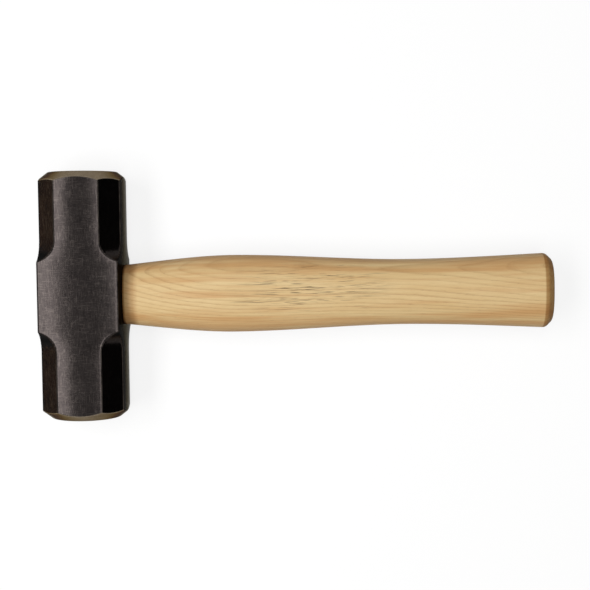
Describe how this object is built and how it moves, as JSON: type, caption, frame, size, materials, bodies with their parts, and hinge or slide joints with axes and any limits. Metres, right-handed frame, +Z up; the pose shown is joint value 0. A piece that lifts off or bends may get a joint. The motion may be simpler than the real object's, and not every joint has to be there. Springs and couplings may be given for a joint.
{
  "type": "sledgehammer",
  "caption": "Short-handled sledgehammer: double-faced octagonal steel head with square cheeks, hung on a curved oval hardwood handle by a wooden wedge and steel wedges in its eye.",
  "frame": {"origin": "on the surface that the hammer lies on, under the middle of the eye: the centre of the lower cheek", "axes": "+X along the handle from the head to the butt, +Y along the head from one striking face to the other, +Z up, out of the upper cheek"},
  "size_m": [0.2567, 0.124, 0.0413],
  "materials": {
    "blackened_steel": "satin",
    "hickory": "satin",
    "wedge_wood": "matte",
    "wedge_steel": "satin"
  },
  "bodies": {
    "root": {"head": "blackened_steel", "handle": "hickory", "wooden_wedge": "wedge_wood", "steel_wedge_upper": "wedge_steel", "steel_wedge_lower": "wedge_steel"}
  },
  "joints": []
}
